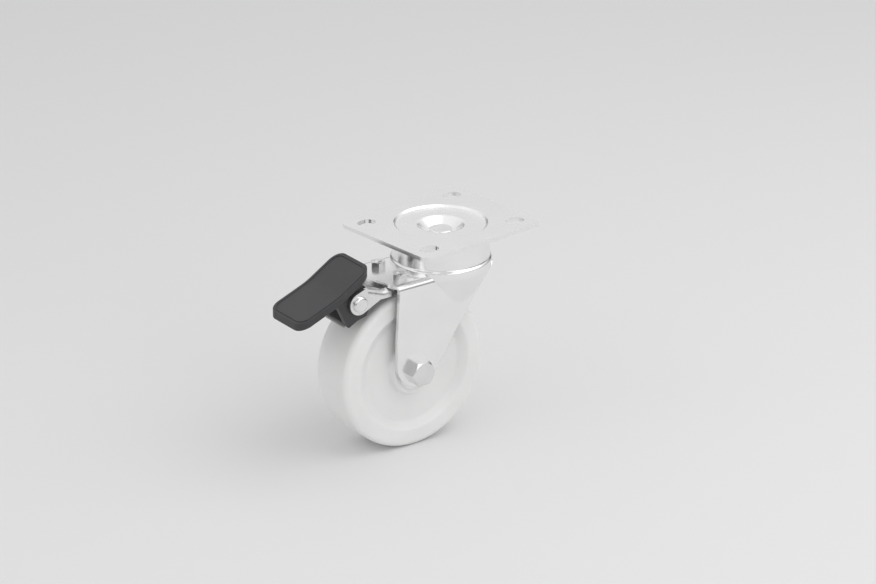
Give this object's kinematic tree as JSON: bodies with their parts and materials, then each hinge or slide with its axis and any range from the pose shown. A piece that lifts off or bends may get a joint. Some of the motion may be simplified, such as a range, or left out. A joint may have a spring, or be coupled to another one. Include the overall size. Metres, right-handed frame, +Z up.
{
  "type": "braked swivel plate castor",
  "caption": "Swivel castor on a slotted mounting plate: a pressed-steel fork carries a solid white nylon wheel and a black foot-pedal brake that bears on the tread.",
  "frame": {"origin": "where the swivel axis crosses the top face of the mounting plate", "axes": "+Z up along the swivel axis, +X along the plate's long side away from the pedal, +Y along its short side; the fork trails towards -X and stands turned 6 degrees clockwise, seen from above, at rest"},
  "size_m": [0.1976, 0.1, 0.1645],
  "materials": {
    "plate_zinc": "bright zinc-plated sheet",
    "fork_zinc": "bright zinc-plated pressed sheet",
    "bracket_zinc": "zinc-plated folded sheet",
    "fastener_zinc": "bright zinc-plated fastener",
    "bearing_steel": "polished hardened balls",
    "shoe_steel": "plain steel strip",
    "nylon": "natural white nylon, satin",
    "pedal_plastic": "black moulded plastic"
  },
  "bodies": {
    "plate": {"top_plate": "plate_zinc", "kingpin": "fastener_zinc", "lower_race": "bearing_steel"},
    "ball_rows": {"upper_balls": "bearing_steel", "lower_balls": "bearing_steel"},
    "swivel_fork": {"fork": "fork_zinc", "axle_sleeve": "fastener_zinc", "thrust_washer_left": "fastener_zinc", "thrust_washer_right": "fastener_zinc", "axle_bolt": "fastener_zinc", "axle_nut": "fastener_zinc", "brake_bracket": "bracket_zinc", "bracket_screw_left": "fastener_zinc", "bracket_screw_right": "fastener_zinc", "bracket_nut_left": "fastener_zinc", "bracket_nut_right": "fastener_zinc", "pedal_pin": "fastener_zinc"},
    "wheel": {"wheel": "nylon"},
    "brake_pedal": {"pedal": "pedal_plastic", "brake_shoe": "shoe_steel"}
  },
  "joints": [
    {"name": "swivel", "type": "hinge", "parent": "plate", "child": "swivel_fork", "pos_m": [0, 0, -0.012], "axis": [0, 0, 1], "continuous": true},
    {"name": "ball_orbit", "type": "hinge", "parent": "plate", "child": "ball_rows", "pos_m": [0, 0, -0.0098], "axis": [0, 0, 1], "continuous": true},
    {"name": "wheel_spin", "type": "hinge", "parent": "swivel_fork", "child": "wheel", "pos_m": [-0.03779, 0.00397, -0.102], "axis": [0.1045, 0.9945, 0], "continuous": true},
    {"name": "pedal_press", "type": "hinge", "parent": "swivel_fork", "child": "brake_pedal", "pos_m": [-0.08652, 0.00909, -0.038], "axis": [-0.1045, -0.9945, 0], "range_deg": [0, 34]}
  ],
  "couplings": [
    {"joint": "ball_orbit", "follows": "swivel", "ratio": 0.5}
  ]
}
